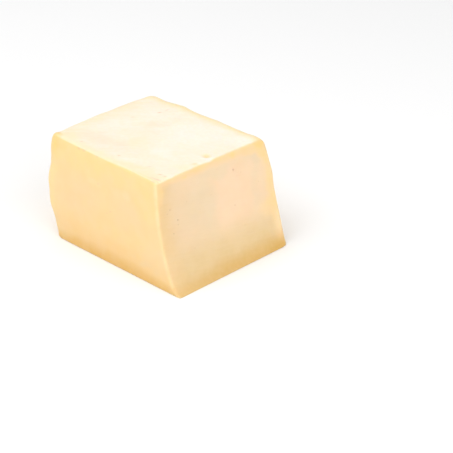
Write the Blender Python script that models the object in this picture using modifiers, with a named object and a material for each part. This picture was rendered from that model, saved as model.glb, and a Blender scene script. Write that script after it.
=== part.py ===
"""A cut-down loaf of firm mozzarella.

One solid: a rectangular block with a flat base, a crowned moulded end at -X that swells at mid
height, and a knife-cut end at +X that leans back and flares out at its base. A small dent lies
in the top, near the cut.
Metres, +Z up, origin at the middle of the base, with +X along the loaf towards the cut.
"""

import math

import bmesh
import bpy

MM = 0.001

# Driving dimensions.
LENGTH = 167 * MM  # along the base's left edge
WIDTH = 140 * MM  # across the base
HEIGHT_CUT = 100 * MM  # at the cut
HEIGHT_END = 102 * MM  # at the moulded end

# The cut end.
CUT_SETBACK = 28.5 * MM  # the cut's top edge stands this far behind its base edge
TOE_SHARE = 0.23  # of the setback, gained in the low toe at the left corner
TOE_HEIGHT = 3.5 * MM
CUT_BULGE = 1.8 * MM  # high on the cut's right edge

# The moulded end.
END_CROWN = 3.0 * MM  # in plan, at the middle of the width
END_SKEW = 3.5 * MM  # its right corner stands this far out beyond its left one
END_LEAN = 9.5 * MM  # its top stands this far out over its base
END_SWELL = 5.5 * MM  # at mid height

# The long sides, left being -Y: how far each one's top leans in, at the cut and at the other end.
LEFT_LEAN_CUT = 1.0 * MM
LEFT_LEAN_END = 5.5 * MM
RIGHT_LEAN_CUT = 1.0 * MM
RIGHT_LEAN_END = 2.0 * MM
SIDE_SWELL = 2.0 * MM  # at mid height by the moulded end, fading out towards the cut

# The swelling and the bulge fade out between these shares of the height.
SWELL_LOW = (0.0, 0.36)
SWELL_HIGH = (0.58, 0.82)
BULGE_LOW = (0.4, 0.7)
BULGE_HIGH = (0.85, 1.0)

# Widths of the rounded edges.
ROUND_CRISP = 2.5 * MM  # at the upright edge between the cut and the left side
ROUND_SOFT = 10.0 * MM  # at the edges farthest from it
ROUND_LEFT = 4.5 * MM  # at the far end of the top's left edge, which stays tight
ROUND_BASE = 0.6 * MM
SIDE_ROUND_POWER = 2  # how late the rounding widens along an edge, away from the crisp one
CUT_ROUND_POWER = 6  # likewise at the cut's top edge, which is tight up to its right corner
BASE_SOFTNESS = 0.5  # an upright edge's rounding at the base, as a share of that at the top

# The dent in the top: its middle, from the cut's top edge and from the base's left edge.
DENT_FROM_CUT = 9.5 * MM
DENT_FROM_LEFT = 71 * MM
DENT_RADIUS = 3.6 * MM
DENT_DEPTH = 1.1 * MM

# The cage: cells along X, Y and Z, and how strongly its rows close up towards the base.
CELLS = (10, 8, 7)
ROW_POWER = 1.5
ROUND_SEGMENTS = 2
BASE_ANGLE = math.radians(60)  # only the base's edge turns by more than this
SMOOTH_LEVELS = 1
DENT_SEGMENTS = 32

COLOUR = (0.93, 0.78, 0.48, 1.0)
ROUGHNESS = 0.45


def blend(low, high, share):
    """The value at this share of the way from low to high."""
    return low + (high - low) * share


def smooth_step(start, end, value):
    """0 up to start, 1 from end on, and a smooth ramp between."""
    share = min(max((value - start) / (end - start), 0.0), 1.0)
    return share * share * (3.0 - 2.0 * share)


def hump(low, high, up):
    """0 below and above these two ramps of the height, and 1 between them."""
    return smooth_step(*low, up) * (1.0 - smooth_step(*high, up))


def cut_setback(across, up):
    """How far the cut stands behind its base edge: hollow at the left, bulging at the right."""
    toe = 1.0 - math.exp(-up * HEIGHT_CUT / TOE_HEIGHT)
    hollow = 1.0 - (1.0 - up) ** 2
    bulge = CUT_BULGE * across**2 * hump(BULGE_LOW, BULGE_HIGH, up)
    return CUT_SETBACK * blend(blend(hollow, toe, TOE_SHARE), up, across) - bulge


def end_overhang(across, up):
    """How far the moulded end stands out beyond the base's left corner."""
    crown = END_CROWN * (1.0 - (2.0 * across - 1.0) ** 2)
    swell = END_SWELL * hump(SWELL_LOW, SWELL_HIGH, up)
    return crown + END_SKEW * across + END_LEAN * up + swell


def side_setback(lean_end, lean_cut, along, up):
    """How far a long side stands in from its base edge."""
    swell = SIDE_SWELL * (1.0 - along) ** 2 * hump(SWELL_LOW, SWELL_HIGH, up)
    return blend(lean_end, lean_cut, along) * up**2 - swell


def height_at(along):
    """The loaf's height at this share of its length."""
    return blend(HEIGHT_END, HEIGHT_CUT, along)


def place(along, across, up):
    """The loaf's point at these shares of its length, width and height."""
    left = side_setback(LEFT_LEAN_END, LEFT_LEAN_CUT, along, up)
    right = side_setback(RIGHT_LEAN_END, RIGHT_LEAN_CUT, along, up)
    return (
        blend(-end_overhang(across, up), LENGTH - cut_setback(across, up), along),
        blend(left, WIDTH - right, across),
        height_at(along) * up,
    )


def rounding(along, across, up):
    """The width of the rounded edge that passes through this point of the unit cube."""
    if up == 0.0:
        return 0.0  # the base's edge has a modifier of its own
    top_left = across == 0.0 and up == 1.0
    top_of_cut = along == 1.0 and up == 1.0
    widest = ROUND_LEFT if top_left else ROUND_SOFT
    power = CUT_ROUND_POWER if top_of_cut else SIDE_ROUND_POWER
    width = blend(ROUND_CRISP, widest, max(1.0 - along, across) ** power)
    return width * blend(BASE_SOFTNESS, 1.0, up)


def edge_rounding(edge):
    """The rounding's width where two outer faces of the unit cube meet, or 0 anywhere else."""
    middle = (edge.verts[0].co + edge.verts[1].co) / 2
    outer_faces = sum(value in (0.0, 1.0) for value in middle)
    return rounding(*middle) if outer_faces == 2 else 0.0


def cage():
    """A unit cube from the origin, cut into rows along each axis."""
    bm = bmesh.new()
    bmesh.ops.create_cube(bm, size=1.0)
    bmesh.ops.translate(bm, verts=bm.verts, vec=(0.5, 0.5, 0.5))
    for axis, cells in enumerate(CELLS):
        run = [e for e in bm.edges if e.verts[0].co[axis] != e.verts[1].co[axis]]
        bmesh.ops.subdivide_edges(bm, edges=run, cuts=cells - 1, use_grid_fill=True)
    return bm


def loaf_mesh():
    """The cage in the loaf's form, each outer edge weighted by its share of the widest rounding."""
    bm = cage()
    weight = bm.edges.layers.float.new("bevel_weight_edge")
    for edge in bm.edges:
        edge[weight] = edge_rounding(edge) / ROUND_SOFT
    for vert in bm.verts:
        along, across, row = vert.co
        vert.co = place(along, across, row**ROW_POWER)
    mesh = bpy.data.meshes.new("cheese_block")
    bm.to_mesh(mesh)
    bm.free()
    mesh.shade_smooth()
    return mesh


def dent_cutter(block):
    """A ball that reaches into the top by the dent's depth."""
    radius = (DENT_RADIUS**2 + DENT_DEPTH**2) / (2 * DENT_DEPTH)
    mesh = bpy.data.meshes.new("dent_cutter")
    bm = bmesh.new()
    bmesh.ops.create_uvsphere(
        bm, u_segments=DENT_SEGMENTS, v_segments=DENT_SEGMENTS // 2, radius=radius
    )
    bm.to_mesh(mesh)
    bm.free()
    cutter = bpy.data.objects.new("dent_cutter", mesh)
    cutter.parent = block
    x = LENGTH - CUT_SETBACK - DENT_FROM_CUT
    cutter.location = (x, DENT_FROM_LEFT, height_at(x / LENGTH) + radius - DENT_DEPTH)
    cutter.hide_render = True
    cutter.display_type = "WIRE"
    return cutter


def cheese_material():
    material = bpy.data.materials.new("cheese")
    material.use_nodes = True
    shader = material.node_tree.nodes["Principled BSDF"]
    shader.inputs["Base Color"].default_value = COLOUR
    shader.inputs["Roughness"].default_value = ROUGHNESS
    shader.inputs["Metallic"].default_value = 0.0
    return material


def new_collection(name):
    collection = bpy.data.collections.new(name)
    bpy.context.scene.collection.children.link(collection)
    return collection


def cheese_block():
    """The loaf with its modifiers, linked to the scene and centred on the origin."""
    block = bpy.data.objects.new("cheese_block", loaf_mesh())
    new_collection("mozzarella_block").objects.link(block)
    block.data.materials.append(cheese_material())

    rounded = block.modifiers.new("rounded_edges", "BEVEL")
    rounded.limit_method = "WEIGHT"
    rounded.width = ROUND_SOFT
    rounded.segments = ROUND_SEGMENTS
    base = block.modifiers.new("base_edge", "BEVEL")
    base.limit_method = "ANGLE"
    base.angle_limit = BASE_ANGLE
    base.width = ROUND_BASE
    smooth = block.modifiers.new("smooth", "SUBSURF")
    smooth.levels = SMOOTH_LEVELS
    smooth.render_levels = SMOOTH_LEVELS

    cutter = dent_cutter(block)
    new_collection("cutters").objects.link(cutter)
    dent = block.modifiers.new("dent", "BOOLEAN")
    dent.object = cutter

    bpy.context.view_layer.update()
    for axis in (0, 1):
        values = [corner[axis] for corner in block.bound_box]
        block.location[axis] = -(min(values) + max(values)) / 2


def main():
    for obj in list(bpy.data.objects):
        bpy.data.objects.remove(obj, do_unlink=True)
    cheese_block()


main()
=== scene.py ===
"""The looks of the mozzarella block: its skin, its cut face, its small marks, and the studio.

The block's form is the solid's own, made from the same named sizes on a finer mesh, and low relief
is added to it. Metres, +Z up. Form coordinates start at the base's left corner at the moulded end,
as the sizes do; the finished block is centred over the origin, where the solid is.
"""

import math

import bmesh
import bpy
import numpy as np
from mathutils import Matrix, Vector, noise


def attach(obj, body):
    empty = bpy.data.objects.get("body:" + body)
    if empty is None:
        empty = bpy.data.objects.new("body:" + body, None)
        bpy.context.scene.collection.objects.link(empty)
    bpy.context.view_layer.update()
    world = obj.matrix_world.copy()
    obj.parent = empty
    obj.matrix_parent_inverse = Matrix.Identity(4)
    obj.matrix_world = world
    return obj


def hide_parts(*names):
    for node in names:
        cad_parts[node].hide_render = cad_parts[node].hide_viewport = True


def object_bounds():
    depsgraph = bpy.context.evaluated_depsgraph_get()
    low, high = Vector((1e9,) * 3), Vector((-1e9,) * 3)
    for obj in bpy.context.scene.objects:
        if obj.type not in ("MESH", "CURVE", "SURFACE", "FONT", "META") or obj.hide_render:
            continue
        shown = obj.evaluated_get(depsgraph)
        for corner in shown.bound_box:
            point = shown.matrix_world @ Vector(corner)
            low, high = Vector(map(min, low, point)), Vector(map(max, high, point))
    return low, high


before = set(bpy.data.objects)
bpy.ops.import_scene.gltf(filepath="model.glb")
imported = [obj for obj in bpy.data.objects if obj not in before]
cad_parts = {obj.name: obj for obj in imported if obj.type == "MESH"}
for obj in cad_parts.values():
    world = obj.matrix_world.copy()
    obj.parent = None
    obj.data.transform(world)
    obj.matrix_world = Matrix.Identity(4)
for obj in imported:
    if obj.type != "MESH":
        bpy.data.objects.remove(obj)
CAD_BOX = [list(corner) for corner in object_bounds()]
MM = 0.001

# ---------------------------------------------------------------- sizes, as the solid's
LENGTH = 167 * MM  # along the base's left edge
WIDTH = 140 * MM  # across the base
HEIGHT_CUT = 100 * MM  # at the cut
HEIGHT_END = 102 * MM  # at the moulded end
SOLID_ORIGIN = np.array([75.57 * MM, 70.19 * MM, 0.0])  # the solid's origin, in form coordinates

# The cut end.
CUT_SETBACK = 28.5 * MM  # the cut's top edge stands this far behind its base edge
TOE_SHARE = 0.23  # of the setback, gained in the low toe at the left corner
TOE_HEIGHT = 3.5 * MM
CUT_BULGE = 1.8 * MM  # high on the cut's right edge

# The moulded end.
END_CROWN = 3.0 * MM  # in plan, at the middle of the width
END_SKEW = 3.5 * MM  # its right corner stands this far out beyond its left one
END_LEAN = 9.5 * MM  # its top stands this far out over its base
END_SWELL = 5.5 * MM  # at mid height

# The long sides, left being -Y: how far each one's top leans in, at the cut and at the other end.
LEFT_LEAN_CUT = 1.0 * MM
LEFT_LEAN_END = 5.5 * MM
RIGHT_LEAN_CUT = 1.0 * MM
RIGHT_LEAN_END = 2.0 * MM
SIDE_SWELL = 2.0 * MM  # at mid height by the moulded end, fading out towards the cut

# The swelling and the bulge fade out between these shares of the height.
SWELL_LOW = (0.0, 0.36)
SWELL_HIGH = (0.58, 0.82)
BULGE_LOW = (0.4, 0.7)
BULGE_HIGH = (0.85, 1.0)

# Widths of the rounded edges.
ROUND_CRISP = 2.5 * MM  # at the upright edge between the cut and the left side
ROUND_SOFT = 10.0 * MM  # at the edges farthest from it
ROUND_LEFT = 4.5 * MM  # at the far end of the top's left edge, which stays tight
ROUND_BASE = 0.6 * MM
SIDE_ROUND_POWER = 2  # how late the rounding widens along an edge, away from the crisp one
CUT_ROUND_POWER = 6  # likewise at the cut's top edge, which is tight up to its right corner
BASE_SOFTNESS = 0.5  # an upright edge's rounding at the base, as a share of that at the top

# The cage: cells along X, Y and Z, and how strongly its rows close up towards the base.
CELLS = (10, 8, 7)
ROW_POWER = 1.5
ROUND_SEGMENTS = 2
BASE_ANGLE = math.radians(60)  # only the base's edge turns by more than this
SMOOTH_LEVELS = 3

# ---------------------------------------------------------------- relief
# Waves in the surface: how deep, and how far from crest to crest.
WAVES = ((0.40 * MM, 55 * MM), (0.14 * MM, 19 * MM), (0.03 * MM, 6 * MM))
CHATTER = (0.35 * MM, 9 * MM)  # the same of the edges alone
CHATTER_REACH = 2.5 * MM
CALM_HEIGHT = 5 * MM  # the relief fades in over this height above the base
FACE_BLEND = 0.8 * MM  # how gradually one face gives way to the next round an edge
MOSTLY = 0.5  # a point belongs mostly to a face if it does by more than this
NOISE_PITCH = 1.5  # steps of the noise from one crest to the next
NOISE_GAIN = 1.6  # brings the noise's usual crests up to 1

# Uneven edges, in mm. Two faces share each edge. Along the axis that it runs on: the place,
# half-width and height of each bump, or its depth if below zero.
EDGE_BUMPS = {
    ("top", "right", "x"): (
        (10, 7, -0.7),
        (28, 7, 0.9),
        (35, 4, 0.9),
        (40, 7, 1.0),
        (64, 9, 0.3),
        (80, 8, 0.8),
        (94, 5, 0.3),
        (118, 5, -0.2),
        (128, 7, 0.6),
        (141, 5, -2.1),
    ),
    ("top", "end", "y"): (
        (8, 6, 2.2),
        (14, 14, -1.3),
        (45, 16, -0.6),
        (78, 8, -0.5),
        (96, 16, -0.3),
        (120, 7, -0.4),
    ),
    ("end", "left", "z"): (
        (97, 6, -0.9),
        (85, 8, 0.9),
        (70, 5, -0.5),
        (56, 7, 0.7),
        (35, 8, 0.8),
        (20, 7, -0.5),
    ),
    ("cut", "right", "z"): (
        (100, 6, -0.6),
        (90, 6, 0.5),
        (68, 7, 0.5),
        (54, 7, -0.6),
        (42, 8, -0.2),
    ),
}
BUMP_REACH = 16 * MM  # how far a bump spreads from its edge over the two faces

# The top's blunted far left corner: place, reach and how much is off.
BLUNTED = ((-8.5 * MM, 5.0 * MM, 101.5 * MM), 8 * MM, 2.2 * MM)

# Fine faces for the small marks: how far they reach round each mark, step by step, and how long
# their edges may stay, as a share of the mark's radius.
FINE_MARGINS = (1.6 * MM, 0.8 * MM, 0.4 * MM)
FINE_EDGE = 0.35
FINE_HOLE = 2.0  # a pin hole's radius counts as this many here
FINE_DENT = 1.5  # and the dent's

# ---------------------------------------------------------------- marks
# Places on a face: across and up on both ends, along and up on both sides, and along and across
# on the top.
FACE_AXES = {"cut": (1, 2), "end": (1, 2), "left": (0, 2), "right": (0, 2), "top": (0, 1)}

# The dent in the top: its place, and the radius and depth of it and of the shallow saucer round it.
DENT_PLACE = (128.6 * MM, 70.6 * MM)
DENT = (4.4 * MM, 1.1 * MM)
SAUCER = (8.0 * MM, 0.35 * MM)
DENT_SHADE_REACH = 1.25  # its painted shade reaches this many of its radii

# The painted highlight in a crescent beside the dent: its distance from the dent's middle and its
# half-width; the direction that it lies in, and between which cosines off that direction its ends
# fade.
CRESCENT = (6.3 * MM, 2.2 * MM)
CRESCENT_TOWARDS = (0.70, -0.71)
CRESCENT_ENDS = (0.3, 0.9)
NO_DISTANCE = 0.1 * MM  # nearer to the dent's middle than this has no direction

# Pin holes in the cut, in mm: place and radius, and how dark each one's painted shade is.
PIN_HOLES = (
    (90.3, 84.2, 1.00, 1.0),
    (98.4, 79.6, 0.70, 0.3),
    (85.9, 53.3, 0.85, 0.5),
    (93.0, 33.1, 0.60, 0.3),
    (14.2, 71.6, 0.90, 0.55),
    (10.6, 68.8, 0.70, 0.3),
    (21.0, 60.4, 0.95, 0.85),
    (20.6, 56.4, 0.70, 0.4),
    (14.7, 50.2, 0.80, 0.7),
    (33.0, 72.9, 0.60, 0.3),
    (61.0, 70.5, 0.60, 0.2),
    (34.0, 31.0, 0.60, 0.2),
    (117.0, 66.0, 0.60, 0.2),
)
HOLE_DEPTH = 0.8  # of its radius

# Scuffs, in mm: face, place, run from end to end and half-width, and how red each one looks.
SCUFFS = (
    ("top", 75.1, 16.4, 1.6, 1.4, 0.6, 1.0),
    ("top", 31.8, 105.4, 1.4, 4.0, 0.7, 0.9),
    ("top", 32.4, 114.6, -0.4, 5.0, 0.7, 0.5),
    ("top", 22.4, 80.5, 1.2, 2.8, 0.6, 0.5),
    ("top", 29.9, 12.3, 2.4, 2.2, 0.7, 0.6),
    ("top", 110.0, 20.4, 2.0, 2.6, 0.6, 0.4),
    ("top", 127.4, 16.4, 2.6, 1.8, 0.6, 0.9),
    ("top", 132.6, 17.1, 2.2, 1.8, 0.6, 0.9),
    ("top", 131.7, 7.7, 11.0, 1.4, 0.7, 0.7),
    ("top", 133.5, 3.2, 6.0, 0.4, 0.6, 0.5),
    ("left", 62.5, 74.0, 2.6, 1.2, 0.5, 0.5),
    ("left", 78.5, 52.6, 3.0, 1.4, 0.5, 0.6),
    ("left", 74.0, 49.5, 2.4, 1.0, 0.5, 0.4),
    ("left", 118.0, 33.0, 2.0, 1.6, 0.5, 0.3),
    ("left", 35.0, 98.6, 4.0, -0.4, 0.7, 0.6),
    ("left", 42.0, 98.8, 4.5, -0.4, 0.7, 0.6),
    ("left", 60.0, 98.8, 4.0, -0.2, 0.7, 0.4),
    ("cut", 72.0, 90.0, 3.0, -0.8, 0.4, 0.3),
    ("cut", 46.0, 35.0, 3.0, -0.6, 0.4, 0.3),
)
SCUFF_DEPTH = 0.12 * MM
SCUFF_ENDS = 0.3  # how deep its ends are, as a share of its middle
SCUFF_TINT = 2.0  # its colour reaches this many of its half-widths

# The top's pale skin, paler partly by painted light from above, ends just short of the cut's edge,
# but laps over it at the near corner and by the dent: how far, over what length, and at the dent
# from what place across.
SKIN_GAP = 1.7 * MM
CORNER_LAP = (3.6 * MM, 20 * MM)
DENT_LAP = (1.3 * MM, 8 * MM, 66 * MM)
# It laps over the left edge too, and ends short of it towards the cut.
LEFT_LAP = 2.0 * MM
LEFT_GAP = (5.8 * MM, 55 * MM, 130 * MM)  # how far in all, and between which places along
SKIN_RAGGED = (0.8 * MM, 7 * MM)  # how uneven its outline is, and from crest to crest
SKIN_FADE = (3.2 * MM, 2.0 * MM, 110 * MM)  # how far it fades, at the end and from this place on

# The darker foot, a painted shade and painted warm reflection along the base. On a long side: how
# high it reaches at the side's ends and how much higher in its middle, and how strong it is at the
# ends and how much stronger in the middle. The same on the cut, at its left and at its right.
SIDE_FOOT_SHADE = (10 * MM, 10 * MM, 0.68, 0.22)
CUT_FOOT_SHADE = (14 * MM, 8 * MM, 0.62, 0.33)
FOOT_MIDDLE = (0.45 * LENGTH, 0.6 * LENGTH)  # a side's middle: its place and reach along the side
FOOT_RAGGED = (1.2 * MM, 40 * MM)  # how uneven its height is, and from crest to crest
SIDE_SHADE = (55 * MM, 0.14)  # a faint painted shade above it, in the middle: how high, and how strong

# Soft patches of colour, in mm: face, place and half-lengths, and how strong each one is.
PATCHES = {
    "grey": (
        ("cut", 45, 63, 31, 28, 1.0),
        ("cut", 68, 88, 25, 6, 0.7),
        ("cut", 17, 88, 12, 6, 0.5),
        ("cut", 16, 62, 13, 34, 0.9),
        ("cut", 115, 86, 9, 8, 0.9),
        ("cut", 113, 66, 7, 20, 0.4),
        ("cut", 40, 31, 40, 10, 0.6),
        ("left", 122, 17, 16, 6, 0.5),
        ("left", 75, 34, 7, 7, 0.3),
        ("left", 138, 28, 16, 14, 0.25),
        ("right", 118, 22, 18, 8, 0.4),
    ),
    "peach": (
        ("cut", 83, 62, 28, 30, 1.0),
        ("cut", 120, 93, 4, 4, 0.8),
        ("left", 35, 52, 36, 24, 0.8),
        ("left", 104, 56, 30, 17, 0.7),
        ("right", 52, 58, 32, 20, 0.8),
        ("right", 116, 50, 22, 24, 0.6),
        ("end", 48, 50, 30, 22, 0.8),
        ("end", 106, 62, 20, 18, 0.6),
        ("top", 40, 26, 42, 15, 0.9),
        ("top", 54, 90, 12, 22, 0.7),
    ),
    "yellow": (
        ("left", 70, 99, 110, 18, 1.0),
        ("right", 70, 99, 110, 16, 1.0),
        ("end", 70, 99, 100, 18, 1.0),
        ("end", 136, 55, 14, 30, 0.6),
        ("left", 129, 76, 13, 24, 0.7),
        ("left", -2, 60, 8, 40, 0.6),
        ("cut", 2, 88, 8, 16, 0.6),
        ("cut", 129, 91, 9, 14, 0.9),
        ("cut", 117, 94, 9, 5, 0.5),
        ("cut", 136, 56, 9, 24, 0.6),
        ("cut", 126, 38, 14, 14, 0.4),
        ("cut", 54, 97, 8, 4, 0.4),
        ("top", 66, 42, 16, 14, 0.3),
        ("top", 133, 44, 9, 10, 0.3),
        ("top", -2, 10, 24, 20, 1.0),
        ("top", -6, 34, 14, 26, 0.7),
        ("top", 46, 2, 60, 8, 0.8),
        ("top", 118, 6, 40, 9, 0.7),
    ),
    "golden": (
        ("left", -3, 93, 13, 12, 1.0),
        ("end", 1, 97, 6, 9, 0.8),
        ("top", -6, 5, 9, 7, 0.9),
        ("cut", 126, 100, 6, 5, 1.0),
        ("top", 142, 127, 5, 5, 1.0),
        ("top", 126, 132, 18, 5, 0.3),
        ("top", 139.5, 54, 3, 4, 0.6),
        ("cut", 94, 98, 7, 3, 0.5),
        ("cut", 30, 97, 5, 2, 0.5),
    ),
    "pale": (
        ("top", 38, 98, 22, 14, 0.6),
        ("top", 92, 94, 34, 36, 1.0),
        ("top", 96, 48, 24, 11, 0.8),
        ("top", 24, 60, 16, 20, 0.5),
        ("top", 125, 112, 15, 10, 1.0),
        ("top", 134, 119, 7, 5, 1.0),
        ("left", 56, 76, 9, 5, 0.5),
        ("left", 96, 72, 9, 6, 0.5),
        ("left", 140, 30, 16, 14, 0.25),
        ("right", 88, 70, 12, 6, 0.5),
        ("end", 78, 74, 11, 6, 0.5),
    ),
}
PATCH_FADE = (0.3, 1.3)  # from where to where a patch fades, in its half-lengths
PATCH_WANDER = ((6 * MM, 26 * MM), (2 * MM, 9 * MM))  # how its outline strays, crest to crest

# ---------------------------------------------------------------- colours
# What the mesh tells its material at each point.
MASKS = (
    "height", "upwards", "under_cut", "under_end", "under_left", "under_right", "under_top",
    "cut_side", "skin_side", "foot_shade", "dent", "crescent_highlight", "scuff", "pin_hole_shade", *PATCHES,
)

# The sides: yellow, with warmer and yellower parts, and painted shade towards the base. Each row of
# a table like this lays one more colour over those before it: where (a mask, or a place named
# further down), how strong, and what colour, in sRGB values from 0 to 255.
SIDE_COLOUR = (248, 213, 153)
SIDE_LAYERS = (
    ("peach", 1.0, (249, 210, 157)),
    ("yellow", 1.0, (248, 217, 149)),
    ("pale", 1.0, (250, 221, 174)),
    # painted shade, darker and warmer towards the base
    ("shade low on side", 1.0, (240, 204, 142)),
    ("grey", 1.0, (236, 207, 160)),
    # painted shade and warm reflection at the foot
    ("foot_shade", 1.0, (220, 173, 84)),
)
ROUNDING_HIGHLIGHTS = ((255, 248, 222), (253, 234, 192))  # painted highlights, paler, on the rounded edges at the right

# The top: pale cream, partly its skin and partly painted light from above, yellower towards the
# moulded end and its edges.
TOP_COLOUR = (249, 235, 213)
TOP_LAYERS = (
    ("peach", 1.0, (250, 228, 204)),
    ("yellow", 1.0, (249, 230, 188)),
    ("top by end", 1.0, (249, 231, 196)),
    ("pale", 1.0, (249, 240, 225)),
    ("smears", 0.35, (250, 242, 229)),
    ("top by left", 1.0, (250, 229, 194)),
    ("top by right", 1.0, (251, 228, 177)),
)

# The cut: duller, peach in places and greyer in others, yellow towards its outline, with faint
# streaks from the knife, painted shade low down and a painted highlight on its right rim.
CUT_COLOUR = (238, 209, 171)
CUT_LAYERS = (
    ("peach", 1.0, (244, 210, 174)),
    ("grey", 1.0, (231, 207, 171)),
    ("left half of cut", 1.0, (232, 202, 161)),
    # painted shade, darker towards the base
    ("shade low on cut", 1.0, (224, 195, 142)),
    ("cut by left", 1.0, (230, 197, 143)),
    ("cut by right", 1.0, (249, 216, 164)),
    ("cut by top", 1.0, (246, 209, 154)),
    ("yellow", 1.0, (249, 211, 144)),
    ("streaks", 0.05, (250, 226, 196)),
    # painted shade and warm reflection at the foot
    ("foot_shade", 1.0, (213, 167, 74)),
    # a painted highlight on the cut's right rim
    ("cut's right rim highlight", 1.0, (253, 237, 192)),
)
# A painted highlight along the upright edge between the cut and the left side.
NEAR_EDGE_HIGHLIGHT_COLOUR = (250, 225, 174)

# Over all of them: a paler line along the top's left edge, which is a painted highlight, golden
# corners, mottle and marks.
OVER_ALL = (
    # a painted highlight along the top's left edge
    ("left edge", 0.6, (250, 237, 208)),
    ("golden", 1.0, (249, 210, 131)),
    ("mottle", 0.10, (251, 232, 205)),
    ("fine mottle", 0.08, (238, 205, 150)),
    # a painted highlight beside the dent
    ("crescent_highlight", 0.8, (252, 246, 234)),
    # painted shade in the dent
    ("dent", 0.9, (245, 215, 156)),
    ("scuff", 0.8, (232, 190, 156)),
    # painted shade in the pin holes
    ("pin_hole_shade", 0.7, (184, 150, 112)),
)

# Places that follow a mask or another place: which one, and from what value to what value of it
# each place fades in.
FADES = {
    # painted shade low on the sides
    "shade low on side": ("height", 36 * MM, 8 * MM),
    # painted highlight on the rounded edges at the right
    "right rounding highlight": ("from right edges", 9 * MM, 4 * MM),
    "top by end": ("under_end", 34 * MM, 8 * MM),
    "top by left": ("under_left", 14 * MM, 1 * MM),
    "top by right": ("scalloped", 25 * MM, 12 * MM),
    "left half of cut": ("under_left", 60 * MM, 0.0),
    # painted shade low on the cut
    "shade low on cut": ("height", 48 * MM, 16 * MM),
    "cut by left": ("under_left", 22 * MM, 3 * MM),
    "cut by right": ("under_right", 18 * MM, 6 * MM),
    "cut by top": ("from rim", 12 * MM, 4 * MM),
    # a painted highlight on the cut's right rim
    "cut's right rim highlight": ("under_right", 5 * MM, 1 * MM),
}
SCALLOPS = 8 * MM  # how uneven the top's yellow band at the right is
RIM_UNEVEN = 5 * MM  # and the cut's one at the top

# Painted highlight lines along the crisp edges between two faces. Across the edge: the line's
# middle and half-width, both in how much deeper a point lies under the first face than under the
# second.
# And how deep under both it fades.
NEAR_EDGE = (1.3 * MM, 4.8 * MM)
NEAR_EDGE_DEPTH = (10 * MM, 3 * MM)
NEAR_EDGE_BREAKS = (0.1, 0.6)  # it breaks where the uneven noise is low
NEAR_EDGE_STRENGTH = (50 * MM, 60 * MM, 0.5, 0.9)  # between which heights, and from what to what
LEFT_EDGE = (2.3 * MM, 1.8 * MM)
LEFT_EDGE_DEPTH = (7 * MM, 3 * MM)
LEFT_EDGE_RUN = (90 * MM, 20 * MM)  # it fades in between these distances from the cut

# Where the top's skin, with its painted light from above, and the cut give way to the sides.
SKIN_TILT = (0.3, 0.6)  # only what faces up by more than this has the skin's pale colour and painted light
CUT_LIMIT = 0.5 * MM

# Noises: from crest to crest, then the range that is spread from 0 to 1.
UNEVEN = 11 * MM
MOTTLE = (16 * MM, 0.3, 0.7)
FINE_MOTTLE = (4 * MM, 0.3, 0.7)
STREAKS = (2.2 * MM, 0.35, 0.65)
STREAK_STRETCH = (1, 22, 1)
STREAK_TURN = (math.radians(-10), 0, 0)  # the knife's streaks fall towards the right
SMEARS = (8 * MM, 0.4, 0.7)
SMEAR_STRETCH = (3.5, 1, 1)
SMEAR_TURN = (0, 0, math.radians(45))  # smears run slantwise over the top

# The surface.
GRAIN = (1.4 * MM, 0.5)  # from crest to crest, and its share of the fine relief's depth
STREAK_DEPTH = 0.25  # the streaks' share of it
FINE_RELIEF = (0.15 * MM, 0.5)  # depth and strength
MOISTURE = (12 * MM, 0.3, 0.7)  # in patches, from the moister to the drier ones
ROUGHNESS = (0.40, 0.56)  # of those
SCATTER = (0.4, (1.0, 0.7, 0.35), 3 * MM)  # weight, radius by colour, and scale

# The floor's paper, in faint patches.
PAPER_COLOURS = ((249, 249, 249), (251, 251, 251))
PAPER_PATCH = 0.7  # from crest to crest
PAPER_ROUGHNESS = 0.9

# ---------------------------------------------------------------- the studio's sizes
# The camera, worked out from the photo: its place, and which ways its right and its front point.
CAMERA_PLACE = Vector((0.8682, -0.8070, 0.6300))
CAMERA_RIGHT = Vector((0.71440, 0.69973, 0.0))
CAMERA_AHEAD = Vector((-0.62011, 0.63311, -0.46329))
FOCAL_PX = 1449.15
FRAME_PX = 453
SENSOR_MM = 36
FLOOR_SIZE = 8
SKY_STRENGTH = 0.66
# Soft lights: place, size and power.
LIGHTS = {
    "key": ((-0.3, -1.0, 2.0), 1.8, 23),
    "fill": ((1.7, -0.3, 1.1), 1.6, 13),
}


# ---------------------------------------------------------------- the form
def metres(sizes):
    """These sizes in mm, as metres."""
    return [size * MM for size in sizes]


def blend(low, high, share):
    """The value at this share of the way from low to high."""
    return low + (high - low) * share


def smooth_step(start, end, value):
    """0 up to start, 1 from end on, and a smooth ramp between."""
    share = np.clip((value - start) / (end - start), 0.0, 1.0)
    return share * share * (3.0 - 2.0 * share)


def hump(low, high, up):
    """0 below and above these two ramps of the height, and 1 between them."""
    return smooth_step(*low, up) * (1.0 - smooth_step(*high, up))


def cut_setback(across, up):
    """How far the cut stands behind its base edge: hollow at the left, bulging at the right."""
    toe = 1.0 - np.exp(-up * HEIGHT_CUT / TOE_HEIGHT)
    hollow = 1.0 - (1.0 - up) ** 2
    bulge = CUT_BULGE * across**2 * hump(BULGE_LOW, BULGE_HIGH, up)
    return CUT_SETBACK * blend(blend(hollow, toe, TOE_SHARE), up, across) - bulge


def end_overhang(across, up):
    """How far the moulded end stands out beyond the base's left corner."""
    crown = END_CROWN * (1.0 - (2.0 * across - 1.0) ** 2)
    swell = END_SWELL * hump(SWELL_LOW, SWELL_HIGH, up)
    return crown + END_SKEW * across + END_LEAN * up + swell


def side_setback(lean_end, lean_cut, along, up):
    """How far a long side stands in from its base edge."""
    swell = SIDE_SWELL * (1.0 - along) ** 2 * hump(SWELL_LOW, SWELL_HIGH, up)
    return blend(lean_end, lean_cut, along) * up**2 - swell


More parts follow.
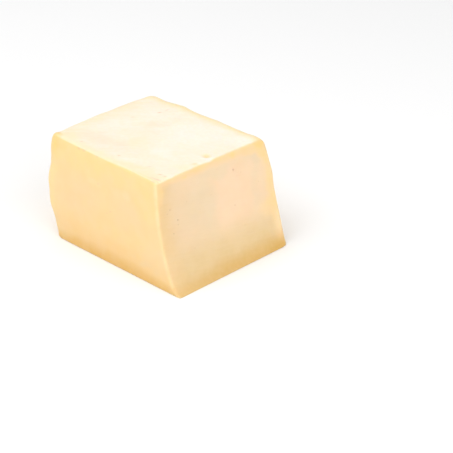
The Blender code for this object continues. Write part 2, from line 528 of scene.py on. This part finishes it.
def height_at(along):
    """The loaf's height at this share of its length."""
    return blend(HEIGHT_END, HEIGHT_CUT, along)


def place(along, across, up):
    """The loaf's point at these shares of its length, width and height."""
    left = side_setback(LEFT_LEAN_END, LEFT_LEAN_CUT, along, up)
    right = side_setback(RIGHT_LEAN_END, RIGHT_LEAN_CUT, along, up)
    return (
        blend(-end_overhang(across, up), LENGTH - cut_setback(across, up), along),
        blend(left, WIDTH - right, across),
        height_at(along) * up,
    )


def shares_of(points):
    """The shares along, across and up at which place() gives these points, near enough."""
    x, y, z = points.T
    along = np.clip(x / LENGTH, 0.0, 1.0)
    for _ in range(4):  # each round comes nearer
        up = np.clip(z / height_at(along), 0.0, 1.0)
        left = side_setback(LEFT_LEAN_END, LEFT_LEAN_CUT, along, up)
        right = side_setback(RIGHT_LEAN_END, RIGHT_LEAN_CUT, along, up)
        across = np.clip((y - left) / (WIDTH - right - left), 0.0, 1.0)
        end = -end_overhang(across, up)
        along = np.clip((x - end) / (LENGTH - cut_setback(across, up) - end), 0.0, 1.0)
    return along, across, up


def rounding(along, across, up):
    """The width of the rounded edge that passes through this point of the unit cube."""
    if up == 0.0:
        return 0.0  # the base's edge has a modifier of its own
    top_left = across == 0.0 and up == 1.0
    top_of_cut = along == 1.0 and up == 1.0
    widest = ROUND_LEFT if top_left else ROUND_SOFT
    power = CUT_ROUND_POWER if top_of_cut else SIDE_ROUND_POWER
    width = blend(ROUND_CRISP, widest, max(1.0 - along, across) ** power)
    return width * blend(BASE_SOFTNESS, 1.0, up)


def edge_rounding(edge):
    """The rounding's width where two outer faces of the unit cube meet, or 0 anywhere else."""
    middle = (edge.verts[0].co + edge.verts[1].co) / 2
    outer_faces = sum(value in (0.0, 1.0) for value in middle)
    return rounding(*middle) if outer_faces == 2 else 0.0


def cage_mesh():
    """The loaf's coarse cage, each outer edge weighted by its share of the widest rounding."""
    bm = bmesh.new()
    bmesh.ops.create_cube(bm, size=1.0)
    bmesh.ops.translate(bm, verts=bm.verts, vec=(0.5, 0.5, 0.5))
    for axis, cells in enumerate(CELLS):
        run = [e for e in bm.edges if e.verts[0].co[axis] != e.verts[1].co[axis]]
        bmesh.ops.subdivide_edges(bm, edges=run, cuts=cells - 1, use_grid_fill=True)
    weight = bm.edges.layers.float.new("bevel_weight_edge")
    for edge in bm.edges:
        edge[weight] = edge_rounding(edge) / ROUND_SOFT
    for vert in bm.verts:
        along, across, row = vert.co
        vert.co = place(along, across, row**ROW_POWER)
    mesh = bpy.data.meshes.new("loaf_cage")
    bm.to_mesh(mesh)
    bm.free()
    return mesh


def smooth_loaf():
    """The loaf with its edges rounded, as a fine mesh in form coordinates."""
    cage = bpy.data.objects.new("loaf_cage", cage_mesh())
    bpy.context.scene.collection.objects.link(cage)
    rounded = cage.modifiers.new("rounded_edges", "BEVEL")
    rounded.limit_method = "WEIGHT"
    rounded.width = ROUND_SOFT
    rounded.segments = ROUND_SEGMENTS
    base = cage.modifiers.new("base_edge", "BEVEL")
    base.limit_method = "ANGLE"
    base.angle_limit = BASE_ANGLE
    base.width = ROUND_BASE
    smooth = cage.modifiers.new("smooth", "SUBSURF")
    smooth.levels = SMOOTH_LEVELS
    smooth.render_levels = SMOOTH_LEVELS
    graph = bpy.context.evaluated_depsgraph_get()
    mesh = bpy.data.meshes.new_from_object(cage.evaluated_get(graph))
    bpy.data.objects.remove(cage, do_unlink=True)
    mesh.materials.clear()
    return mesh


def on_form(face, u, v):
    """The form's point at this place on the cut, the left side or the top, near enough."""
    if face == "cut":
        return (LENGTH - cut_setback(u / WIDTH, v / HEIGHT_CUT), u, v)
    along = u / LENGTH
    if face == "left":
        return (u, side_setback(LEFT_LEAN_END, LEFT_LEAN_CUT, along, v / height_at(along)), v)
    return (u, v, height_at(along))


def mark_places():
    """The middle of each small mark with the radius that it needs fine faces in."""
    spots = []
    for *sizes, _ in PIN_HOLES:
        y, z, radius = metres(sizes)
        spots.append((on_form("cut", y, z), FINE_HOLE * radius))
    for face, *sizes, _ in SCUFFS:
        u, v, run_u, run_v, half_width = metres(sizes)
        spots.append((on_form(face, u, v), math.hypot(run_u, run_v) / 2 + half_width))
    spots.append((on_form("top", *DENT_PLACE), FINE_DENT * DENT[0]))
    return spots


def refine(mesh, spots):
    """Splits the faces round each spot, in steps, until they are fine enough for its relief."""
    bm = bmesh.new()
    bm.from_mesh(mesh)
    centres = np.array([spot for spot, _ in spots])
    radii = np.array([radius for _, radius in spots])
    for margin in FINE_MARGINS:
        faces = list(bm.faces)
        middles = np.array([face.calc_center_median() for face in faces])
        lengths = np.array([max(edge.calc_length() for edge in face.edges) for face in faces])
        away = np.linalg.norm(middles[:, None, :] - centres[None, :, :], axis=2)
        near = (away < radii + margin) & (lengths[:, None] > FINE_EDGE * radii)
        edges = {edge for index in np.flatnonzero(near.any(axis=1)) for edge in faces[index].edges}
        bmesh.ops.subdivide_edges(bm, edges=list(edges), cuts=1, use_grid_fill=True)
    bm.to_mesh(mesh)
    bm.free()


# ---------------------------------------------------------------- relief and masks
def bump(distance, radius):
    """1 at the middle, falling smoothly to 0 at this radius."""
    return (1.0 - np.clip(np.abs(distance) / radius, 0.0, 1.0) ** 2) ** 2


def noise_at(points, crest_to_crest):
    """Smooth noise over the points, within -1 and 1."""
    scaled = points * (NOISE_PITCH / crest_to_crest)
    return np.array([noise.noise(Vector(point)) for point in scaled])


def dips(points, crest_to_crest):
    """Smooth noise from 0 at the crests to 1 at the deepest places."""
    return 0.5 - 0.5 * np.clip(noise_at(points, crest_to_crest) * NOISE_GAIN, -1.0, 1.0)


def depths_under(points):
    """How far each point lies under each face of the loaf."""
    along, across, up = shares_of(points)
    return {
        "cut": (1.0 - along) * LENGTH,
        "end": along * LENGTH,
        "left": across * WIDTH,
        "right": (1.0 - across) * WIDTH,
        "top": (1.0 - up) * HEIGHT_END,
        "base": up * HEIGHT_END,
    }


def face_shares(under):
    """How much each point belongs to each face."""
    nearest = np.min(list(under.values()), axis=0)
    near = {name: np.exp(-(depth - nearest) / FACE_BLEND) for name, depth in under.items()}
    total = np.sum(list(near.values()), axis=0)
    return {name: value / total for name, value in near.items()}


def edge_bumps(points, under):
    """How far the uneven edges stand out."""
    height = np.zeros(len(points))
    for (face, other, axis), bumps in EDGE_BUMPS.items():
        along_edge = points[:, "xyz".index(axis)]
        spread = np.exp(-(((under[face] + under[other]) / BUMP_REACH) ** 2))
        for sizes in bumps:
            middle, half_width, bump_height = metres(sizes)
            height += bump_height * np.exp(-(((along_edge - middle) / half_width) ** 2)) * spread
    corner, reach, blunted = BLUNTED
    return height - blunted * bump(np.linalg.norm(points - corner, axis=1), reach)


def from_dent(points):
    """How far each point is from the dent's middle, seen from above."""
    return np.hypot(points[:, 0] - DENT_PLACE[0], points[:, 1] - DENT_PLACE[1])


def relief(points, under, share):
    """How far the surface lies inward of the smooth form, but for the holes and scuffs."""
    inward = -edge_bumps(points, under)
    for deep, crest_to_crest in WAVES:
        inward += deep * dips(points, crest_to_crest)
    from_edge = np.sort(list(under.values()), axis=0)[1]
    near_edge = np.exp(-((from_edge / CHATTER_REACH) ** 2))
    inward += CHATTER[0] * dips(points, CHATTER[1]) * near_edge
    away = from_dent(points)
    dent = bump(away, DENT[0]) * share["top"]
    return inward + (DENT[1] * dent + SAUCER[1] * bump(away, SAUCER[0]) * share["top"])


def pin_holes(points, on_cut):
    """Depth of the pin holes, and how dark their painted shade makes the surface."""
    depth = np.zeros(len(points))
    dark = np.zeros(len(points))
    for *sizes, darkness in PIN_HOLES:
        y, z, radius = metres(sizes)
        hole = bump(np.hypot(points[:, 1] - y, points[:, 2] - z), radius) * (on_cut > MOSTLY)
        depth += hole * radius * HOLE_DEPTH
        dark = np.maximum(dark, np.sqrt(hole) * darkness)
    return depth, dark


def scuffs(points, share):
    """Depth of the scuffs, and how red they make the surface."""
    depth = np.zeros(len(points))
    red = np.zeros(len(points))
    for face, *sizes, redness in SCUFFS:
        u, v, run_u, run_v, half_width = metres(sizes)
        run = np.array([run_u, run_v])
        away = points[:, FACE_AXES[face]] - [u, v]
        part = np.clip(away @ run / (run @ run), -0.5, 0.5)
        distance = np.linalg.norm(away - part[:, None] * run, axis=1)
        taper = blend(SCUFF_ENDS, 1.0, 1.0 - (2.0 * part) ** 2) * (share[face] > MOSTLY)
        depth += bump(distance, half_width) * taper * SCUFF_DEPTH
        red = np.maximum(red, bump(distance, SCUFF_TINT * half_width) * taper * redness)
    return depth, red


def crescent_highlight(points):
    """The painted highlight in a crescent beside the dent."""
    away = from_dent(points)
    towards = (points[:, :2] - DENT_PLACE) @ CRESCENT_TOWARDS / np.maximum(away, NO_DISTANCE)
    return bump(away - CRESCENT[0], CRESCENT[1]) * smooth_step(*CRESCENT_ENDS, towards)


def outline_wander(points):
    """How far the patches' outlines stray at each point, along both axes of its face."""
    wander = np.zeros((len(points), 2))
    for deep, crest_to_crest in PATCH_WANDER:
        for axis, shift in enumerate((0.0, 0.5)):  # shifted so that the two differ
            wander[:, axis] += NOISE_GAIN * deep * noise_at(points + shift, crest_to_crest)
    return wander


def patches(points, share, kind, wander):
    """The soft patches of one kind of colour, their outlines made uneven."""
    bare = np.ones(len(points))
    for face, *sizes, strength in PATCHES[kind]:
        u, v, reach_u, reach_v = metres(sizes)
        away = points[:, FACE_AXES[face]] + wander - [u, v]
        patch = 1.0 - smooth_step(*PATCH_FADE, np.linalg.norm(away / [reach_u, reach_v], axis=1))
        bare *= 1.0 - strength * patch * share[face]
    return 1.0 - bare


def skin_side(points, under):
    """1 where the top's pale skin, partly painted light, is whole, -1 where it has faded out, and 0
    at its outline.
    """
    x, y = points[:, 0], points[:, 1]
    over_cut = SKIN_RAGGED[0] * noise_at(points, SKIN_RAGGED[1]) - SKIN_GAP
    over_cut += CORNER_LAP[0] * np.exp(-y / CORNER_LAP[1])
    over_cut += DENT_LAP[0] * bump(y - DENT_LAP[2], DENT_LAP[1])
    over_left = LEFT_LAP - LEFT_GAP[0] * smooth_step(*LEFT_GAP[1:], x)
    inside = np.minimum(under["cut"] + over_cut, under["left"] + over_left) - under["top"]
    return inside / blend(SKIN_FADE[0], SKIN_FADE[1], smooth_step(0.0, SKIN_FADE[2], x))


def foot_shade_at(sizes, more, z):
    """The painted foot shade's strength at this height, at this share of the way to where it is
    strongest.
    """
    low, higher, faint, stronger = sizes
    return (1.0 - smooth_step(0.0, low + higher * more, z)) * (faint + stronger * more)


def foot_shade(points, on_cut):
    """How far each point belongs to the darker foot, its painted shade and warm reflection."""
    x, y, z = points.T
    z = z * (1.0 + FOOT_RAGGED[0] * noise_at(points, FOOT_RAGGED[1]) / SIDE_FOOT_SHADE[0])
    middle = bump(x - FOOT_MIDDLE[0], FOOT_MIDDLE[1])
    shade = (1.0 - smooth_step(0.0, SIDE_SHADE[0], z)) * SIDE_SHADE[1] * middle
    side = np.maximum(foot_shade_at(SIDE_FOOT_SHADE, middle, z), shade)
    cut = foot_shade_at(CUT_FOOT_SHADE, np.clip(y / WIDTH, 0.0, 1.0), z)
    return blend(side, cut, on_cut)


# ---------------------------------------------------------------- the block
def read_vectors(collection, name, count):
    """One vector of each of this many items, as rows."""
    values = np.empty(count * 3, np.float32)
    collection.foreach_get(name, values)
    return values.reshape(-1, 3).astype(float)


def cheese_block():
    """The block's mesh with its relief, and the masks that its material reads."""
    mesh = smooth_loaf()
    refine(mesh, mark_places())
    count = len(mesh.vertices)
    points = read_vectors(mesh.vertices, "co", count)
    outward = read_vectors(mesh.vertex_normals, "vector", count)
    under = depths_under(points)
    share = face_shares(under)
    hole_depth, pin_hole_shade = pin_holes(points, share["cut"])
    scuff_depth, scuffed = scuffs(points, share)

    # The relief goes along the smooth form's normals, and the base has none.
    inward = relief(points, under, share) + (hole_depth + scuff_depth)
    inward *= smooth_step(0.0, CALM_HEIGHT, points[:, 2]) * (1.0 - share["base"])
    moved = np.clip(points - outward * inward[:, None] - SOLID_ORIGIN, *CAD_BOX)
    mesh.vertices.foreach_set("co", moved.astype(np.float32).ravel())
    mesh.shade_smooth()

    masks = {
        "cut_side": np.minimum(under["left"], under["right"]) - under["cut"],
        "skin_side": skin_side(points, under),
        "upwards": outward[:, 2],
        "height": points[:, 2],
        # painted shade in the pin holes
        "pin_hole_shade": pin_hole_shade,
        "scuff": scuffed,
        # painted shade in the dent
        "dent": bump(from_dent(points), DENT_SHADE_REACH * DENT[0]) * share["top"],
        # a painted highlight beside the dent
        "crescent_highlight": crescent_highlight(points),
        # painted shade and warm reflection along the base
        "foot_shade": foot_shade(points, share["cut"]),
    }
    masks.update({f"under_{face}": depth for face, depth in under.items()})
    wander = outline_wander(points)
    masks.update({kind: patches(points, share, kind, wander) for kind in PATCHES})
    for name in MASKS:
        attribute = mesh.attributes.new(name, "FLOAT", "POINT")
        attribute.data.foreach_set("value", masks[name].astype(np.float32))

    block = bpy.data.objects.new("mozzarella_block", mesh)
    bpy.context.scene.collection.objects.link(block)
    return block


# ---------------------------------------------------------------- materials
def srgb(red, green, blue):
    """The linear colour of these sRGB values."""
    values = [value / 255 for value in (red, green, blue)]
    return [v / 12.92 if v <= 0.04045 else ((v + 0.055) / 1.055) ** 2.4 for v in values] + [1.0]


class Nodes:
    """Adds nodes to one material, each call giving the output that the next one reads."""

    def __init__(self, name):
        self.material = bpy.data.materials.new(name)
        self.material.use_nodes = True
        self.tree = self.material.node_tree
        self.shader = self.tree.nodes["Principled BSDF"]
        self.place = self.add("ShaderNodeTexCoord").outputs["Object"]

    def add(self, kind, inputs=None, **settings):
        node = self.tree.nodes.new(kind)
        for name, value in settings.items():
            setattr(node, name, value)
        for name, value in (inputs or {}).items():
            self.set(node.inputs[name], value)
        return node

    def set(self, socket, value):
        """Links the socket to another one's output, or gives it a value of its own."""
        if isinstance(value, bpy.types.NodeSocket):
            self.tree.links.new(value, socket)
        else:
            socket.default_value = value

    def mask(self, name):
        return self.add("ShaderNodeAttribute", attribute_name=name).outputs["Fac"]

    def math(self, operation, a, b=0.0):
        return self.add("ShaderNodeMath", {0: a, 1: b}, operation=operation).outputs[0]

    def ramp(self, value, start, end):
        """0 where value is start, 1 where it is end, clamped and smooth between."""
        inputs = {"Value": value, "From Min": start, "From Max": end}
        node = self.add("ShaderNodeMapRange", inputs, interpolation_type="SMOOTHSTEP")
        return node.outputs["Result"]

    def spread(self, value, start, end, low, high):
        """low where value is start, high where it is end, clamped and straight between."""
        inputs = {"Value": value, "From Min": start, "From Max": end, "To Min": low, "To Max": high}
        return self.add("ShaderNodeMapRange", inputs).outputs["Result"]

    def band(self, value, middle, half_width):
        """1 where value is middle, falling smoothly to 0 at this far from it."""
        away = self.math("ABSOLUTE", self.math("SUBTRACT", value, middle))
        return self.ramp(away, half_width, 0.0)

    def mix(self, share, a, b):
        """Colour a, or colour b where share is 1."""
        node = self.tree.nodes.new("ShaderNodeMix")
        node.data_type = "RGBA"
        self.set(node.inputs[0], share)
        self.set(node.inputs[6], a)
        self.set(node.inputs[7], b)
        return node.outputs[2]

    def layered(self, colour, layers, at):
        """The colour with a table's layers over it; at gives each place's share."""
        for name, strength, over in layers:
            share = at[name] if strength == 1.0 else self.math("MULTIPLY", at[name], strength)
            colour = self.mix(share, colour, srgb(*over))
        return colour

    def noise(self, crest_to_crest, detail=2.0, stretch=(1, 1, 1), turn=(0, 0, 0)):
        """Noise from 0 to 1, longer by stretch along each axis, and turned."""
        inputs = {"Vector": self.place, "Scale": stretch, "Rotation": turn}
        where = self.add("ShaderNodeMapping", inputs, vector_type="TEXTURE").outputs[0]
        inputs = {"Vector": where, "Scale": 1.0 / crest_to_crest, "Detail": detail}
        return self.add("ShaderNodeTexNoise", inputs).outputs["Fac"]

    def crisp_edge(self, one, other, line, depth):
        """A line along the edge of two faces, from how deep a point lies under each of them."""
        across = self.band(self.math("SUBTRACT", one, other), *line)
        return self.math("MULTIPLY", across, self.ramp(self.math("ADD", one, other), *depth))


def cheese_places(n):
    """The share of every place that the tables of colours name, and how uneven it all is."""
    at = {name: n.mask(name) for name in MASKS}
    uneven = n.noise(UNEVEN)

    # Distances from edges, some of them uneven.
    nearest = n.math("MINIMUM", at["under_top"], at["under_cut"])
    at["from right edges"] = n.math("ADD", nearest, at["under_right"])
    at["scalloped"] = n.math("ADD", at["under_right"], n.math("MULTIPLY", uneven, SCALLOPS))
    at["from rim"] = n.math("ADD", at["under_top"], n.math("MULTIPLY", uneven, RIM_UNEVEN))
    for name, (followed, start, end) in FADES.items():
        at[name] = n.ramp(at[followed], start, end)

    # Noises.
    at["mottle"] = n.ramp(n.noise(MOTTLE[0]), *MOTTLE[1:])
    at["fine mottle"] = n.ramp(n.noise(FINE_MOTTLE[0]), *FINE_MOTTLE[1:])
    streaks = n.noise(STREAKS[0], stretch=STREAK_STRETCH, turn=STREAK_TURN)
    at["streaks"] = n.ramp(streaks, *STREAKS[1:])
    smears = n.noise(SMEARS[0], detail=3.0, stretch=SMEAR_STRETCH, turn=SMEAR_TURN)
    at["smears"] = n.ramp(smears, *SMEARS[1:])

    # The top's skin, with its painted light from above, and the cut.
    faces_up = n.ramp(at["upwards"], *SKIN_TILT)
    at["top"] = n.math("MULTIPLY", n.ramp(at["skin_side"], -1.0, 1.0), faces_up)
    at["cut"] = n.ramp(at["cut_side"], -CUT_LIMIT, CUT_LIMIT)

    # The painted highlight lines on the crisp edges: the near one is broken in places, and fainter
    # low down.
    near = n.crisp_edge(at["under_cut"], at["under_left"], NEAR_EDGE, NEAR_EDGE_DEPTH)
    near = n.math("MULTIPLY", near, n.ramp(uneven, *NEAR_EDGE_BREAKS))
    at["near edge"] = n.math("MULTIPLY", near, n.spread(at["height"], *NEAR_EDGE_STRENGTH))
    # a painted highlight along the top's left edge
    left = n.crisp_edge(at["under_left"], at["under_top"], LEFT_EDGE, LEFT_EDGE_DEPTH)
    at["left edge"] = n.math("MULTIPLY", left, n.ramp(at["under_cut"], *LEFT_EDGE_RUN))
    return at, uneven


def cheese_material():
    n = Nodes("cheese")
    at, uneven = cheese_places(n)

    side = n.layered(srgb(*SIDE_COLOUR), SIDE_LAYERS, at)
    # painted highlights on the rounded edges at the right
    rounded = n.mix(uneven, *(srgb(*colour) for colour in ROUNDING_HIGHLIGHTS))
    side = n.mix(at["right rounding highlight"], side, rounded)
    top = n.layered(srgb(*TOP_COLOUR), TOP_LAYERS, at)
    cut = n.layered(srgb(*CUT_COLOUR), CUT_LAYERS, at)
    colour = n.mix(at["cut"], side, cut)
    # a painted highlight along the near upright edge
    colour = n.mix(at["near edge"], colour, srgb(*NEAR_EDGE_HIGHLIGHT_COLOUR))
    colour = n.mix(at["top"], colour, top)
    n.set(n.shader.inputs["Base Color"], n.layered(colour, OVER_ALL, at))

    # A faint grain and the knife's streaks, and a skin that is moister in places.
    grain = n.math("MULTIPLY", n.noise(GRAIN[0], detail=3.0), GRAIN[1])
    dragged = n.math("MULTIPLY", n.math("MULTIPLY", at["streaks"], at["cut"]), STREAK_DEPTH)
    distance, strength = FINE_RELIEF
    inputs = {"Height": n.math("ADD", grain, dragged), "Distance": distance, "Strength": strength}
    n.set(n.shader.inputs["Normal"], n.add("ShaderNodeBump", inputs).outputs[0])
    moisture = n.spread(n.noise(MOISTURE[0], detail=4.0), *MOISTURE[1:], *ROUGHNESS)
    n.set(n.shader.inputs["Roughness"], moisture)

    weight, radius, scale = SCATTER
    n.shader.inputs["Subsurface Weight"].default_value = weight
    n.shader.inputs["Subsurface Radius"].default_value = radius
    n.shader.inputs["Subsurface Scale"].default_value = scale
    return n.material


def paper_material():
    n = Nodes("paper")
    shade = n.mix(n.noise(PAPER_PATCH), *(srgb(*colour) for colour in PAPER_COLOURS))
    n.set(n.shader.inputs["Base Color"], shade)
    n.shader.inputs["Roughness"].default_value = PAPER_ROUGHNESS
    return n.material


# ---------------------------------------------------------------- studio
def camera():
    data = bpy.data.cameras.new("camera")
    data.sensor_width = SENSOR_MM
    data.lens = FOCAL_PX / FRAME_PX * SENSOR_MM
    made = bpy.data.objects.new("camera", data)
    turn = Matrix((CAMERA_RIGHT, CAMERA_RIGHT.cross(CAMERA_AHEAD), -CAMERA_AHEAD)).transposed()
    made.matrix_world = Matrix.Translation(CAMERA_PLACE) @ turn.to_4x4()
    bpy.context.scene.collection.objects.link(made)
    bpy.context.scene.camera = made


def floor():
    bpy.ops.mesh.primitive_plane_add(size=FLOOR_SIZE)
    made = bpy.context.object
    made.name = "floor"
    made.data.materials.append(paper_material())


def soft_light(name, place_at, size, power):
    """A square lamp that looks at the block."""
    data = bpy.data.lights.new(name, "AREA")
    data.size = size
    data.energy = power
    lamp = bpy.data.objects.new(name, data)
    lamp.location = place_at
    lamp.rotation_euler = (-Vector(place_at)).to_track_quat("-Z", "Y").to_euler()
    bpy.context.scene.collection.objects.link(lamp)


def studio():
    world = bpy.data.worlds.new("studio")
    world.use_nodes = True
    sky = world.node_tree.nodes["Background"]
    sky.inputs["Color"].default_value = (1, 1, 1, 1)
    sky.inputs["Strength"].default_value = SKY_STRENGTH
    bpy.context.scene.world = world
    for name, settings in LIGHTS.items():
        soft_light(name, *settings)
    bpy.context.scene.view_settings.view_transform = "Standard"
    floor()
    camera()


block = cheese_block()
block.data.materials.append(cheese_material())
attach(block, "root")
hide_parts("cheese_block")
studio()
